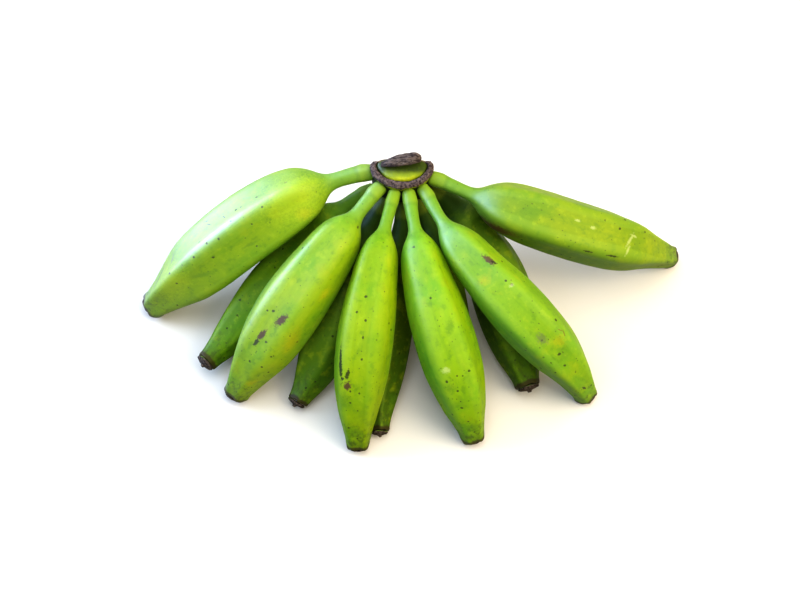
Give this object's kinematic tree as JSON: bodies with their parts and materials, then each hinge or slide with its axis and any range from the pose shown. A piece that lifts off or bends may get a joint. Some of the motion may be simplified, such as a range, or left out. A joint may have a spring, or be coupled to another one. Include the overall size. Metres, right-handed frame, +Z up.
{
  "type": "hand of green cooking bananas",
  "caption": "Cut hand of green, angular cooking bananas in two rows, crown up, standing on its fingertips.",
  "frame": {"origin": "on the floor, under the middle of the bounding box", "axes": "+X across the hand to the right-hand end banana, -Y the way the middle bananas point, +Z up from the floor to the crown"},
  "size_m": [0.3335, 0.1569, 0.0859],
  "materials": {
    "banana_skin": "satin, waxy unripe peel with small dark specks",
    "crown_green": "matte yellow-green crown tissue",
    "cork": "rough brown cork of old scars",
    "dried_scab": "wrinkled dark dried cut"
  },
  "bodies": {
    "root": {"crown": "crown_green", "bract_scar": "cork", "dried_cut": "dried_scab", "banana_upper_1": "banana_skin", "banana_upper_2": "banana_skin", "banana_upper_3": "banana_skin", "banana_upper_4": "banana_skin", "banana_upper_5": "banana_skin", "banana_upper_6": "banana_skin", "banana_lower_1": "banana_skin", "banana_lower_2": "banana_skin", "banana_lower_3": "banana_skin", "banana_lower_4": "banana_skin", "banana_lower_5": "banana_skin", "flower_end_upper_1": "cork", "flower_end_upper_2": "cork", "flower_end_upper_3": "cork", "flower_end_upper_4": "cork", "flower_end_upper_5": "cork", "flower_end_upper_6": "cork", "flower_end_lower_1": "cork", "flower_end_lower_2": "cork", "flower_end_lower_3": "cork", "flower_end_lower_4": "cork", "flower_end_lower_5": "cork"}
  },
  "joints": []
}
